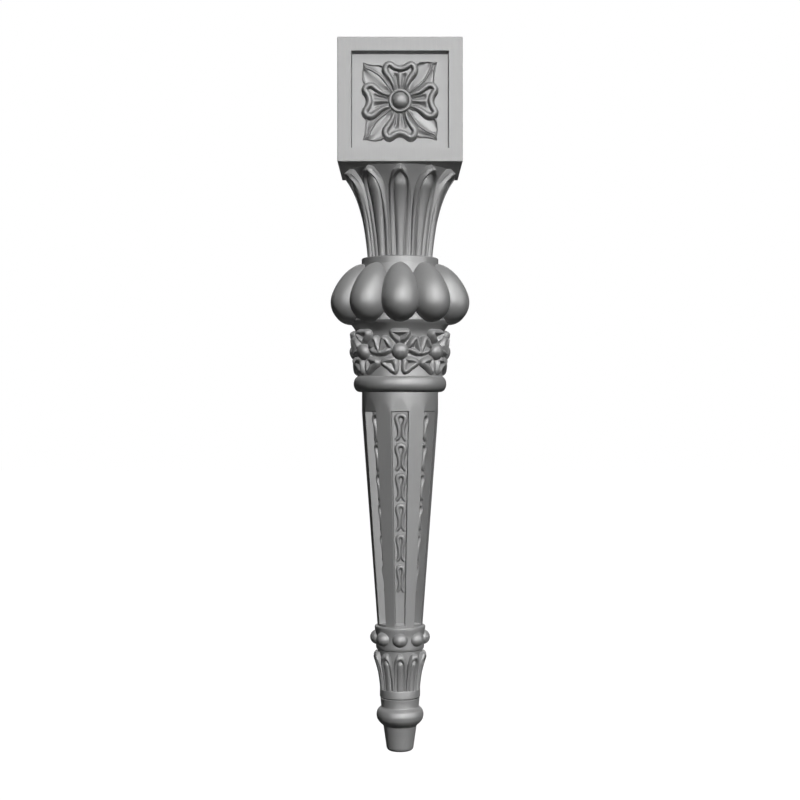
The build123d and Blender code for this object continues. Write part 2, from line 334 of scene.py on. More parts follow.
def nested(outline, rim, width):
    """Rings of points: OUTLINE drawn in by each rim distance, times WIDTH, at the rim's rise."""
    inward, room = way_in(outline)
    rings = []
    for distance, rise in rim:
        flat = outline + inward * np.minimum(distance * width, 0.98 * room)[:, None]
        rings.append(np.column_stack([flat, np.full(len(flat), rise)]))
    return rings


def drawn_in(ring, spine, surface, steps):
    """Rings that run from RING to the SPINE points, at the height that SURFACE gives."""
    rings = []
    for share in np.linspace(0, 1, steps + 1)[1:]:
        flat = ring[:, :2] + (spine - ring[:, :2]) * share
        rise = ring[:, 2] + (surface(flat) - ring[:, 2]) * ease(share, 0, 0.3)
        rings.append(np.column_stack([flat, rise]))
    return rings


disc = arc((0, 0), (10, 10), 0, 345, 23)
print("from the edge of a 10 mm disc to its middle:", round(float(way_in(disc)[1][0]), 3))

# %% The petals of the rosette
petal_half = [
    (6.9, 9.5), (8.4, 13.2), (10.9, 17.4), (14.4, 21.4), (17.5, 25.4), (18.6, 29.8),
    (17.4, 34.6), (14.2, 37.8), (10.8, 38.8), (7.2, 37.8), (3.6, 35.4), (0.0, 34.4),
]
petal_rim = [
    (0.0, -1.0), (0.0, 1.8), (0.2, 3.4), (0.7, 5.0), (1.5, 6.5), (2.5, 7.5), (3.6, 8.0),
    (4.7, 7.9), (5.6, 7.2), (6.3, 6.0), (6.8, 4.8), (7.3, 4.3), (7.8, 4.6), (8.3, 4.5),
]
flute_angle = 22.0
flute_depth = 3.2


def fluted_floor(flat):
    """Two flutes that fan out from the eye and end in a round, with a ridge between them."""
    reach = np.hypot(flat[:, 0], flat[:, 1])
    angle = np.degrees(np.arctan2(flat[:, 0], flat[:, 1]))
    flute = np.where(np.abs(angle) < flute_angle, 1 - np.cos(2 * pi * angle / flute_angle), 0) / 2
    return 5.2 - flute_depth * flute * (1 - ease(reach, 23.5, 28.5)) - 0.8 * ease(reach, 25, 30)


def heart_petal():
    right = flow(petal_half, 5)
    left = right[-2::-1] * (-1, 1)
    outline = np.vstack([right, left])
    width = 0.45 + 0.55 * ease(outline[:, 1], 8, 24)
    rings = nested(outline, petal_rim, width)
    spine = np.column_stack([np.zeros(len(outline)), np.clip(rings[-1][:, 1], 12, 26)])
    rings = np.array(rings + drawn_in(rings[-1], spine, fluted_floor, 12))
    rings[..., 2] *= 0.6 + 0.4 * ease(np.hypot(rings[..., 0], rings[..., 1]), 9, 17)
    return skin(rings, ring=True, lids=("start",))


petals = spun([heart_petal()], 4)
print("a petal has", len(petals[0][1]), "faces")

# %% [markdown]
# ## The rosette: corner leaves
# Behind the petals a leaf points into each corner of the panel. Its two sides differ: one bulges,
# the other is slightly hollow, and the vein swings from one side to the other, so that the four
# leaves turn like a pinwheel. A leaf is a sheet of rows along its length. Each row has a thin
# raised edge, a hollow and the raised vein, and all rows meet in the tip.

# %% The corner leaves of the rosette
leaf_bulge = [(10, 1.5), (16, 5), (24, 10.5), (32, 13.8), (39, 13.3), (42.8, 11), (46, 8.1),
              (48.4, 4.6), (50.1, 2.0), (52.4, 0)]
leaf_hollow = [(10, -1.5), (16, -5), (24, -10.5), (32, -13.2), (37.9, -11.2), (41.9, -7.5),
               (46, -4.2), (50, -1.6), (52.4, 0)]
leaf_vein = [(10, -0.6), (14.1, -1.2), (22.3, -2.5), (31, -3.1), (40.9, -0.9), (47.3, 1.7), (52.4, 0)]
side_profile = [(0.0, 5.2), (0.5, 5.0), (0.9, 4.1), (1.3, 3.7), (1.7, 3.9)]
hollow_profile = [(0.3, 3.3), (0.45, 2.6), (0.6, 2.2), (0.75, 2.3)]
edge_profile = [(2.2, 3.0), (1.6, 3.7), (1.0, 4.3), (0.5, 4.2), (0.15, 3.6), (0.0, -1.0)]


def half_row(along, vein, edge):
    """Points from the vein to one edge of the leaf, at one distance ALONG it."""
    width = abs(edge - vein)
    side = 1 if edge > vein else -1
    fit = min(1.0, width / 6.0)
    near = [(vein + side * d * fit, rise) for d, rise in side_profile]
    middle = [(vein + side * width * share, rise) for share, rise in hollow_profile]
    far = [(edge - side * d * fit, rise) for d, rise in edge_profile]
    return near + (middle if fit == 1.0 else [near[-1]] * len(middle)) + far


def corner_leaf():
    rows = []
    for along in np.concatenate([np.linspace(10, 44, 24), np.linspace(45, 52.4, 14)]):
        vein = follow(leaf_vein, along)
        left = half_row(along, vein, follow(leaf_bulge, along))
        right = half_row(along, vein, follow(leaf_hollow, along))
        across = right[::-1] + left[1:]
        rows.append([(along, offset, rise) for offset, rise in across])
    flat = np.array(rows)
    turn = radians(45)
    x = flat[..., 0] * cos(turn) - flat[..., 1] * sin(turn)
    y = flat[..., 0] * sin(turn) + flat[..., 1] * cos(turn)
    return skin(np.stack([x, y, flat[..., 2]], -1), lids=("start",))


corner_leaves = spun([corner_leaf()], 4)
rosettes = carve("rosettes", on_panels([eye] + petals + corner_leaves), crease=50)

# %% [markdown]
# ## Leaves that stand round a bell
# Under the block ten tall leaves stand side by side round a waisted bell, and curl out at the top.
# The same kind of leaf comes again, smaller, on the cup near the foot, so one helper makes both.
# A leaf is worked flat first: how wide it is at each distance from its tip. From its edge inwards
# come a sloping side, a rim, a dark groove and a long convex reed. So the outline is again repeated
# inwards, each time under a pointed arch, and each point is then laid on the turned face of the
# leaf. That face is a profile from the trimmed tip down to the foot. The rim, groove and reed rise
# square to it, and the side wall falls straight back to the axis.

# %% A leaf laid on a turned face
def along_profile(profile):
    """Distance along PROFILE from its first point, and its outward normals."""
    step = np.linalg.norm(np.diff(profile, axis=0), axis=1)
    distance = np.concatenate([[0], np.cumsum(step)])
    ahead = np.gradient(profile, axis=0)
    normal = np.stack([-ahead[:, 1], ahead[:, 0]], -1)
    return distance, normal / np.linalg.norm(normal, axis=1)[:, None]


def lay_on(profile, across, distance, rise):
    """Points on the turned face: ACROSS and DISTANCE from the tip, RISE square to the face."""
    measured, normal = along_profile(profile)
    radius = np.interp(distance, measured, profile[:, 0])
    z = np.interp(distance, measured, profile[:, 1])
    out = np.interp(distance, measured, normal[:, 0])
    up = np.interp(distance, measured, normal[:, 1])
    turn = across / radius
    r = radius + rise * out
    return np.stack([r * np.sin(turn), -r * np.cos(turn), z + rise * up], -1)


post = np.array([(30.0, 0.0), (30.0, -100.0)])
print("20 mm down a round post:", lay_on(post, np.zeros(1), np.array([20.0]), np.zeros(1))[0])

# %% A leaf with a rim, a groove and a reed
def standing_leaf(profile, widths, rim, ridge, apex_pull, arch, reed, core, steps=34):
    """A leaf with a rim, a groove and a reed, from its tip down its PROFILE.

    RIM gives (inset, rise) near the tip and (inset, rise) near the foot. Row number RIDGE is the
    rim's crest: the rows before it are the leaf's side wall, which falls straight back. APEX_PULL is
    how many times its inset an inner outline starts below the tip, ARCH how far below that it comes
    near its full width, REED how high the reed swells, and CORE the line that the back lies on.
    """
    length = along_profile(profile)[0][-1]
    share = np.linspace(0, 1, steps) ** 1.6

    def row(near_tip, near_foot, wall=False, squeeze=1.0, swell=0.0):
        down = ease(share, 0.1, 0.75)
        inset = near_tip[0] + (near_foot[0] - near_tip[0]) * down
        rise = near_tip[1] + (near_foot[1] - near_tip[1]) * down
        top = apex_pull * near_tip[0]
        distance = top + (length - top) * share
        full = follow(widths, distance)
        own = follow(widths, distance - top) * (1 - inset / np.maximum(full, inset + 0.01))
        arched = (full - inset) * (1 - np.exp(-((distance - top) / arch) ** 1.25))
        half = own + (arched - own) * ease(near_tip[0], 0, rim[ridge][0])
        half = np.maximum(half, 0) * squeeze
        half[0] = 0
        rise = rise * np.minimum(half / 5, 1) if wall else rise + swell
        both = np.concatenate([-half[::-1], half[1:]])
        distance = np.concatenate([distance[::-1], distance[1:]])
        rise = np.concatenate([rise[::-1], rise[1:]])
        points = lay_on(profile, both, distance, np.zeros_like(rise) if wall else rise)
        if wall:
            points[:, :2] *= (1 + rise / np.hypot(points[:, 0], points[:, 1]))[:, None]
        return points

    tips = [item[:2] for item in rim]
    feet = [item[2:] for item in rim]
    edge = row(tips[0], feet[0], wall=True)
    back = edge.copy()
    radius = np.hypot(edge[:, 0], edge[:, 1])
    back[:, :2] *= (np.interp(-edge[:, 2], -core[:, 1], core[:, 0]) / radius)[:, None]
    middle = back.copy()
    middle[:, :2] = (0, -1) * np.hypot(back[:, 0], back[:, 1])[:, None]
    rows = [middle, back, edge]
    rows += [row(tips[i], feet[i], wall=i < ridge) for i in range(1, len(rim))]
    grown = ease(share, 0.0, 0.16)
    for inwards in np.linspace(0, 1, 9)[1:]:
        swell = reed * grown * (1 - (1 - inwards) ** 2) ** 0.5
        rows.append(row(tips[-1], feet[-1], squeeze=1 - inwards, swell=swell))
    return skin(rows, lids=("heel",))


print("the helper lays leaves on any turned face")

# %% The bell and its leaves
bell_top = foot_of["block"]
leaf_count = 10


def bezier(a, b, c, d, steps):
    """A curve from A to D, pulled towards B and C."""
    t = np.linspace(0, 1, steps + 1)[:, None]
    a, b, c, d = (np.array(p, float) for p in (a, b, c, d))
    return (1 - t) ** 3 * a + 3 * (1 - t) ** 2 * t * b + 3 * (1 - t) * t**2 * c + t**3 * d


leaf_face = bezier((60.6, -5.6), (44.7, -20), (36.8, -52), (33.4, -90), 40)
leaf_profile = np.vstack([[(54.6, -0.2), (57.8, -2.9)], leaf_face]) + (0, bell_top)
leaf_widths = [(0, 0), (1.5, 3.0), (4.5, 5.1), (7.5, 6.9), (10.4, 8.5), (13.2, 9.8), (17, 11.0),
               (22.2, 12.1), (29.3, 12.7), (40.5, 12.4), (54.8, 11.4), (75.2, 10.1), (96, 9.3)]
leaf_rim = [  # inset and rise near the tip, then near the foot
    (0.0, -4.4, 0.0, -2.2), (0.4, -3.9, 0.1, -1.3), (1.1, -2.9, 0.4, -0.5), (2.2, -1.45, 0.8, -0.1),
    (3.3, 0.0, 1.3, 0.0), (4.0, -0.3, 2.3, -0.3), (4.5, -0.8, 3.3, -0.8), (4.9, -2.4, 4.2, -1.5),
    (5.3, -3.2, 4.8, -2.0), (5.8, -3.2, 5.1, -2.0),
]
bell_curve = flow([(51.0, 1.0), (44.5, -14), (38.3, -32), (34.5, -52), (32.2, -72), (31.0, -90)], 8)
bell_curve = bell_curve + (0, bell_top)
bell = turned(bell_curve)
leaf = standing_leaf(leaf_profile, leaf_widths, leaf_rim, ridge=4, apex_pull=2.68, arch=3.9, reed=3.6,
                     core=bell_curve - (2.0, 0))
capital = carve("leaf_capital", [bell] + spun([leaf], leaf_count), crease=50)

# %% [markdown]
# ## The collar and the ring of eggs
# Ten large smooth eggs hang side by side under a plain collar, small end up, each leaning in
# against it. A carver would call them gadroons. Each is a round body, so an egg is turned about
# its own axis with a long quarter oval above its widest place and a short one below, and then
# leaned and set round a flaring bed. The bed shows as small bright triangles between them.

# %% The collar and the bed of the eggs
egg_top = foot_of["collar"]
egg_foot = foot_of["eggs"]
collar_radius = 39.8
collar_round = arc((collar_radius - 1.3, foot_of["bell"] - 1.3), (1.3, 1.3), 90, 0, 6)
collar = turned(np.vstack([[(30.0, foot_of["bell"])], collar_round, [(collar_radius, egg_top)]]))
band_radius = 43.0
cove = flow([(52.2, egg_foot + 3.3), (50.7, egg_foot + 0.3), (47.6, egg_foot - 4.1),
             (45.0, egg_foot - 8.5), (43.6, egg_foot - 13.5), (band_radius, egg_foot - 19.0)], 4)
flare = flow([(band_radius, egg_foot - 34.0), (43.2, egg_foot - 44.0), (44.3, foot_of["band"])], 6)
bed = turned(np.vstack([[(36.0, egg_top)], [(collar_radius, egg_top)], cove, flare]))
collar_piece = carve("collar_and_band", [collar, bed], crease=30)

# %% The eggs
egg_count = 10
egg_radius = 19.2
egg_depth = 21.4  # how thick the egg is from front to back, against its radius across
egg_upper, egg_lower = 41.0, 23.4
egg_lean = 22.5
egg_centre = (52.3, egg_top - 37.9)
egg_taper = 1.16  # above 1, the upper end runs to a finer point than an oval's


def egg(sides=48, steps=18):
    upper = arc((0, 0), (1, egg_upper), 90, 0, steps)
    upper[:, 0] = egg_radius * np.clip(upper[:, 0], 0, 1) ** egg_taper
    lower = arc((0, 0), (egg_radius, egg_lower), 0, -90, steps)
    profile = np.vstack([upper, lower[1:]])
    points, faces = turned(profile, sides, lids=())
    lean = radians(egg_lean)
    x, y, z = points.T
    y = y * egg_depth / egg_radius
    back = y * cos(lean) + z * sin(lean)
    up = z * cos(lean) - y * sin(lean)
    return np.stack([x, back - egg_centre[0], up + egg_centre[1]], -1), faces


egg_ring = carve("egg_ring", spun([egg()], egg_count))

# %% [markdown]
# ## The band of flowers
# Seven five-petalled flowers run round the waisted band. Each has a round ball in the middle and
# five thick petals with a rolled rim, a hollow and a crease. They are worked flat like the
# rosette's petals, with the same two helpers, and are then bent round the band, so that a petal's
# thickness always points out from the axis.

# %% The flowers
flower_count = 7
flower_tilt = 0.014  # the flowers stand out a little more at the top
flower_drop = 29.0  # from the foot of the eggs to the middle of the flowers
bend_radius = 47.0
flower_petal_half = [
    (2.6, 4.0), (4.8, 8.6), (8.0, 12.4), (10.3, 15.8), (10.9, 18.8), (10.2, 21.4), (7.9, 23.0),
    (4.2, 23.3), (0.0, 23.0),
]
flower_rise = 7.4
flower_wall = 3.6
flower_dish = 4.4
roll_width = 3.8
dish_slope = 2.8  # how far past the roll the hollow takes to come near its depth
ball_radius = 8.5
ball_depth = 6.8
ball_rise = 3.9


def from_edge(flat, outline):
    """Shortest distance from each point of FLAT to a closed OUTLINE."""
    ahead = np.roll(outline, -1, axis=0) - outline
    gap = flat[:, None] - outline[None]
    share = np.clip((gap * ahead).sum(-1) / (ahead**2).sum(-1), 0, 1)
    return np.linalg.norm(gap - share[..., None] * ahead, axis=-1).min(axis=1)


def petal_profile(distance):
    """Height over the band at each DISTANCE from the petal's edge: a rolled rim and a hollow."""
    roll = flower_rise - (flower_rise - flower_wall) * (1 - np.clip(distance / roll_width, 0, 1)) ** 2
    past = np.clip(distance - roll_width, 0, None) / dish_slope
    return roll - flower_dish * (1 - np.exp(-(past**1.6)))


def flower_petal():
    right = flow(flower_petal_half, 5)
    outline = np.vstack([right, right[-2::-1] * (-1, 1)])
    inward, room = way_in(outline)
    rings = [np.column_stack([outline, np.full(len(outline), -1.0)])]
    for distance in (0, 0.15, 0.4, 0.8, 1.3, 1.9, 2.5, 3.2, 4.0, 4.9):
        flat = outline + inward * np.minimum(distance, 0.98 * room)[:, None]
        rings.append(np.column_stack([flat, petal_profile(from_edge(flat, outline))]))
    spine = np.column_stack([np.zeros(len(outline)), np.clip(flat[:, 1], 6, 15.5)])
    edge = flat
    for share in np.linspace(0, 1, 9)[1:]:
        flat = edge + (spine - edge) * share
        rings.append(np.column_stack([flat, petal_profile(from_edge(flat, outline))]))
    rings = np.array(rings)
    rings[..., 2] *= 0.6 + 0.4 * ease(np.hypot(rings[..., 0], rings[..., 1]), 8, 13)
    return skin(rings, ring=True, lids=("start",))


def on_band(skins):
    """Flat work (across, up, rise), bent round the band."""
    bent = []
    for points, faces in skins:
        across, up, rise = points.T
        turn = across / bend_radius
        out = band_radius + rise * (1 + flower_tilt * up)
        z = up + egg_foot - flower_drop
        bent.append((np.stack([out * np.sin(turn), -out * np.cos(turn), z], -1), faces))
    return bent


ball_arc = arc((0, ball_rise), (ball_radius, ball_depth), -30, 88, 14)
ball_profile = np.vstack([[(ball_radius * 0.8, -1.0)], ball_arc])
flower = on_band(spun([flower_petal()], 5) + [flat_turned(ball_profile, 40)])
flowers = carve("flowers", spun(flower, flower_count), crease=50)

# %% [markdown]
# ## The upper bead
# A plain half-round bead closes the carved head of the leg. It is pure turning: an oval arc.

# %% The upper bead
bead_middle = (42.0, foot_of["band"] - 7.8)
bead_radii = (6.1, 8.3)
bead_arc = arc(bead_middle, bead_radii, 90, -90, 24)
bead_profile = np.vstack([[(30.0, foot_of["band"])], bead_arc, [(30.0, foot_of["upper_bead"])]])
upper_bead = carve("upper_bead", [turned(bead_profile)])

# %% [markdown]
# ## The shaft
# The shaft is a tapering prism with fourteen sides under a short round neck: seven sides carry a
# sunk panel, and the seven between are plain flats. Planing a flat on a round makes it run out in
# an arch, and the mesh gets that from one rule: a point of the prism that would stand outside the
# neck's round is pulled in to it. The panels are deep troughs in the same skin. Their four walls
# lean outwards a little, as carved walls do, so each floor is smaller than its opening all round.

# %% The shaft's facets and sunk panels
shaft_top = foot_of["upper_bead"]
shaft_foot = foot_of["shaft"]
panel_count = 7
neck_radius = 39.5
neck_tuck = 2.0  # the neck runs on into the bead above it
facet_start = -376.0
facet_taper = 0.0735
panel_half_angle = 13.85
panel_depth = 8.5
panel_arris = 0.35
panel_draft = 1.05
panel_top = -373.2
panel_foot = shaft_foot + 2.6
flat_columns = 8
floor_columns = 12


def corner_radius(z):
    """How far the prism's corners stand from the axis at height Z."""
    return neck_radius - facet_taper * (facet_start - z)


def facet_point(turn, offset, z, depth):
    """A point on the facet that faces TURN degrees, OFFSET across it, DEPTH under its face."""
    a = np.radians(turn)
    out = corner_radius(z) * cos(radians(panel_half_angle)) - depth
    return out * np.sin(a) + offset * np.cos(a), -out * np.cos(a) + offset * np.sin(a)


def shaft_ring(z, sunk):
    """One ring of the shaft at height Z, where SUNK is the panels' depth."""
    pitch = 360 / panel_count
    half = corner_radius(z) * sin(radians(panel_half_angle))
    opening = half - panel_arris
    floor_half = opening - panel_draft
    floor = np.linspace(-floor_half, floor_half, floor_columns)
    offsets = [-half + 0.05, -opening, *floor, opening, half - 0.05]
    depths = [0, 0] + [sunk] * floor_columns + [0, 0]
    ring = []
    for i in range(panel_count):
        turn = i * pitch
        for offset, depth in zip(offsets, depths):
            ring.append((*facet_point(turn, offset, z, depth), z, depth))
        here = np.array(facet_point(turn, half, z, 0))
        there = np.array(facet_point(turn + pitch, -half, z, 0))
        for share in np.linspace(0.03, 0.97, flat_columns):
            ring.append((*(here + (there - here) * share), z, 0))
    ring = np.array(ring)
    reach = np.hypot(ring[:, 0], ring[:, 1])
    pull = np.minimum(1, (neck_radius - ring[:, 3]) / reach)
    ring[:, :2] *= pull[:, None]
    return ring[:, :3]


def shaft_body():
    rows = [shaft_ring(z, 0) for z in np.linspace(shaft_top + neck_tuck, panel_top + 0.4, 28)]
    rows.append(shaft_ring(panel_top, 0))
    floor = np.linspace(panel_top - panel_draft, panel_foot + panel_draft, 14)
    rows += [shaft_ring(z, panel_depth) for z in floor]
    rows.append(shaft_ring(panel_foot, 0))
    rows.append(shaft_ring(shaft_foot, 0))
    return skin(rows, ring=True, lids=("start", "end"))


shaft = carve("shaft", [shaft_body()], crease=18)

# %% [markdown]
# ## The chain
# In each sunk panel hangs a chain of six loops. A loop is one rounded strand: it starts in a foot
# at the left, pinches in along the middle, swings over a round head and comes down the same way on
# the right. A path with a width at each point describes it, and a low arch is swept along it. The
# loops get narrower and a little longer down the shaft.

# %% The chain of loops
loop_count = 6
loop_pitch = 30.5
loop_growth = 0.13  # each loop hangs a little further below the last
first_top = 0.8  # from the panel's head to the first loop
chain_shift = 1.0  # the carver kept the chain a little to one side of its panel
strand = [  # across, down, half width of the strand, rise
    (0.0, 3.1, 3.1, 4.2), (2.9, 4.0, 3.0, 4.2), (4.55, 6.8, 2.8, 4.2), (4.15, 10.2, 2.65, 4.1),
    (2.85, 14.0, 2.6, 3.9), (2.1, 18.0, 2.45, 3.7), (1.95, 22.0, 2.45, 3.5), (2.6, 25.4, 2.4, 3.2),
    (4.3, 27.8, 2.3, 2.9), (5.9, 29.2, 2.1, 2.3),
]


def loop(top, narrow):
    """One loop as a swept arch, TOP below the panel's head, narrowed by the share NARROW."""
    half = flow(strand, 5)
    line = np.vstack([half[::-1] * (-1, 1, 1, 1), half[1:]])
    line = line * (narrow, 1, 0.45 + 0.55 * narrow, 0.6 + 0.4 * narrow)
    ahead = np.gradient(line[:, :2], axis=0)
    side = np.stack([-ahead[:, 1], ahead[:, 0]], -1)
    side /= np.linalg.norm(side, axis=1)[:, None]
    rows = []
    for (x, down, width, rise), normal in zip(line, side):
        arch = arc((0, 0), (width, rise), 0, 180, 12)
        arch = np.vstack([(width, -0.6), arch, (-width, -0.6)])
        rows.append([(x + normal[0] * w, -top - down - normal[1] * w, h) for w, h in arch])
    return skin(rows, lids=("sides", "start", "end"))


def in_panels(skins):
    """Flat work (across, down, rise), laid on the floors of the seven sunk panels."""
    laid = []
    for points, faces in skins:
        across, down, rise = points.T
        z = panel_top + down
        out = corner_radius(z) * cos(radians(panel_half_angle)) - panel_depth + rise
        shift = chain_shift * floor_half_width(z) / widest
        laid.append((np.stack([across + shift, -out, z], -1), faces))
    return spun(laid, panel_count)


def floor_half_width(z):
    return corner_radius(z) * sin(radians(panel_half_angle)) - panel_arris - panel_draft


widest = floor_half_width(panel_top)
loops = []
for i in range(loop_count):
    top = first_top + i * (loop_pitch + loop_growth * i)
    loops.append(loop(top, floor_half_width(panel_top - top - loop_pitch / 2) / widest))
chain = carve("chain", in_panels(loops), crease=60)

# %% [markdown]
# ## The beaded ring
# Below the shaft a plain drum carries eight round beads, like a string of pearls let into the wood.
# The drum is turned, and each bead is a slightly flattened ball half sunk in it.

# %% The beaded ring
drum_foot = foot_of["drum"]
upper_face = flow([(25.5, shaft_foot + 0.2), (26.1, shaft_foot - 0.4), (26.25, shaft_foot - 1.4),
                   (26.0, shaft_foot - 4.0), (25.4, shaft_foot - 8.0), (25.1, shaft_foot - 14.0)], 4)
lower_face = flow([(25.0, drum_foot + 6.0), (24.9, drum_foot + 3.0), (24.5, drum_foot + 1.0),
                   (23.6, drum_foot)], 4)
drum = turned(np.vstack([[(18.0, shaft_foot)], upper_face, lower_face, [(18.0, drum_foot)]]))
pearl_count = 8
pearl_radii = (8.1, 7.6)  # across and up
pearl_flatness = 0.93
pearl_centre = (23.5, shaft_foot - 12.1)


def pearl(steps=16, sides=40):
    points, faces = turned(arc((0, 0), pearl_radii, 90, -90, steps), sides, lids=())
    x, y, z = points.T
    return np.stack([x, y * pearl_flatness - pearl_centre[0], z + pearl_centre[1]], -1), faces


pearls = spun([pearl()], pearl_count)
beaded_ring = carve("beaded_ring", [drum] + pearls)

# %% [markdown]
# ## The cup of small leaves
# The small cup repeats the bell of leaves at less than half its size, with a rim that is broad and
# round at the tip. The leaf helper is used again, with the cup's own face, widths and rim.

# %% The cup of small leaves
cup_top = foot_of["drum_groove"]
cup_face = bezier((27.9, -6.2), (24.4, -16.0), (21.4, -26.0), (20.6, -40.0), 28)
cup_tip = arc((24.2, -5.2), (3.9, 4.2), 95, -8, 8)
cup_profile = np.vstack([cup_tip, cup_face]) + (0, cup_top)
cup_widths = [(0, 0), (1.8, 2.0), (4.0, 3.8), (7.0, 5.2), (10.5, 6.2), (14, 6.7), (20, 6.6), (30, 6.4),
              (47, 6.3)]
cup_rim = [
    (0.0, -2.2, 0.0, -1.2), (0.1, -1.6, 0.05, -0.6), (0.35, -0.9, 0.2, -0.2), (0.8, -0.35, 0.4, 0.0),
    (1.5, 0.0, 0.7, 0.0), (2.2, -0.1, 1.2, -0.2), (2.6, -0.6, 1.8, -0.5), (2.9, -1.4, 2.4, -0.9),
    (3.3, -1.5, 2.8, -1.1),
]
cup_curve = flow([(23.0, 1.0), (22.0, -10), (19.8, -22), (18.8, -41)], 6) + (0, cup_top)
cup = turned(cup_curve)
small_leaf = standing_leaf(cup_profile, cup_widths, cup_rim, ridge=4, apex_pull=3.0, arch=2.2, reed=1.9,
                           core=cup_curve - (1.0, 0))
leaf_cup = carve("leaf_cup", [cup] + spun([small_leaf], leaf_count), crease=50)

# %% [markdown]
# ## The lower turning and the foot
# The leg ends in plain turning: a collar, a fine groove, a neck, a full bead and a short foot that
# narrows to the floor. One profile draws them all, with fair curves where the tool rolls over and
# sharp corners where it stops.

# %% The lower turning
low_top = foot_of["cup"]
low_foot = foot_of["low_collar"]
neck_foot = foot_of["neck"]
roll_foot = foot_of["lower_bead"]
floor_z = foot_of["foot"]
low_round = arc((19.6, low_top - 1.3), (1.3, 1.3), 90, 0, 5)
low_step = [(20.9, low_foot + 1.2), (19.8, low_foot - 0.1), (20.35, low_foot - 0.7)]
roll = flow([(19.5, neck_foot + 1.2), (19.7, neck_foot + 0.4), (20.5, neck_foot - 0.5),
             (21.9, neck_foot - 1.7), (23.5, neck_foot - 3.8), (24.4, neck_foot - 7.8),
             (23.7, neck_foot - 12.0), (22.6, neck_foot - 14.0), (21.0, neck_foot - 16.0),
             (18.7, neck_foot - 18.1), (17.2, roll_foot)], 5)
foot_round = arc((14.2 - 3.4, floor_z + 4.6), (3.4, 4.6), 0, -90, 8)
low_profile = np.vstack([[(16.0, low_top)], low_round, low_step, roll, foot_round])
lower_turning = carve("lower_turning", [turned(low_profile)], crease=30)

# %% [markdown]
# ## The finish
# The whole leg wears one even coat of pale grey primer over the wood, as a carved blank does
# before it is painted. A coat like that is never one flat colour: it is a shade lighter where it
# is thin, the grain just shows through, and its sheen breaks up. So the material mixes two near
# greys with a soft cloud, stretches a fine noise along the leg for the grain, and lets both work
# very gently on colour, sheen and relief. One flat colour would look like plastic. The sheen is a
# faint clear coat with a high index, which grows far less towards the edges of a round than the
# usual one.

# %% The grey coat
coat_light = (0.345, 0.345, 0.345, 1)
coat_dark = (0.315, 0.315, 0.315, 1)
cloud_scale = 22.0
grain_scale = (900.0, 900.0, 45.0)  # fine across the leg, long along it
grain_share = 0.45
sheen_weight = 0.035
sheen_index = 3.0
sheen_roughness = (0.34, 0.40)


def grey_coat(name):
    coat = bpy.data.materials.new(name)
    coat.use_nodes = True
    nodes, links = coat.node_tree.nodes, coat.node_tree.links
    shader = nodes["Principled BSDF"]
    place = nodes.new("ShaderNodeTexCoord")
    cloud = nodes.new("ShaderNodeTexNoise")
    cloud.inputs["Scale"].default_value = cloud_scale
    cloud.inputs["Detail"].default_value = 5.0
    stretch = nodes.new("ShaderNodeMapping")
    stretch.inputs["Scale"].default_value = grain_scale
    grain = nodes.new("ShaderNodeTexNoise")
    grain.inputs["Scale"].default_value = 1.0
    grain.inputs["Detail"].default_value = 3.0
    blend = nodes.new("ShaderNodeMix")
    blend.data_type = "FLOAT"
    blend.inputs[0].default_value = grain_share
    colour = nodes.new("ShaderNodeValToRGB")
    colour.color_ramp.elements[0].position = 0.3
    colour.color_ramp.elements[0].color = coat_dark
    colour.color_ramp.elements[1].position = 0.7
    colour.color_ramp.elements[1].color = coat_light
    sheen = nodes.new("ShaderNodeMapRange")
    sheen.inputs["To Min"].default_value = sheen_roughness[0]
    sheen.inputs["To Max"].default_value = sheen_roughness[1]
    shader.inputs["Specular IOR Level"].default_value = 0.0
    shader.inputs["Coat Weight"].default_value = sheen_weight
    shader.inputs["Coat IOR"].default_value = sheen_index
    bump = nodes.new("ShaderNodeBump")
    bump.inputs["Strength"].default_value = 0.05
    bump.inputs["Distance"].default_value = 0.0002
    links.new(place.outputs["Object"], cloud.inputs["Vector"])
    links.new(place.outputs["Object"], stretch.inputs["Vector"])
    links.new(stretch.outputs["Vector"], grain.inputs["Vector"])
    links.new(cloud.outputs["Fac"], blend.inputs[2])
    links.new(grain.outputs["Fac"], blend.inputs[3])
    links.new(blend.outputs[0], colour.inputs["Fac"])
    links.new(blend.outputs[0], sheen.inputs["Value"])
    links.new(grain.outputs["Fac"], bump.inputs["Height"])
    links.new(colour.outputs["Color"], shader.inputs["Base Color"])
    links.new(sheen.outputs["Result"], shader.inputs["Coat Roughness"])
    links.new(bump.outputs["Normal"], shader.inputs["Normal"])
    return coat


coat = grey_coat("grey_primer_on_wood")
members = [block, rosettes, capital, collar_piece, egg_ring, flowers, upper_bead, shaft, chain,
           beaded_ring, leaf_cup, lower_turning]
for piece in members:
    piece.data.materials.append(coat)
    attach(piece, "root")
    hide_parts("carved_leg")
print(len(members), "pieces wear the coat")

# %% [markdown]
# ## The floor and the backdrop
# The leg stands on a plain pale floor before a white backdrop. Seen straight on, in a gloss or
# through glass, both are white. To all other rays the floor is a dull grey, so that it throws no
# light up under the carving, where the photograph is dark. A diffuse part under the white keeps
# the leg's shadow.

# %% Rays that see the background
def background_seen(nodes, links):
    """A socket that is 1 for camera, glossy and transmission rays, and 0 for all others."""
    path = nodes.new("ShaderNodeLightPath")
    either = nodes.new("ShaderNodeMath")
    either.operation = "MAXIMUM"
    any_of = nodes.new("ShaderNodeMath")
    any_of.operation = "MAXIMUM"
    links.new(path.outputs["Is Camera Ray"], either.inputs[0])
    links.new(path.outputs["Is Glossy Ray"], either.inputs[1])
    links.new(either.outputs[0], any_of.inputs[0])
    links.new(path.outputs["Is Transmission Ray"], any_of.inputs[1])
    return any_of.outputs[0]


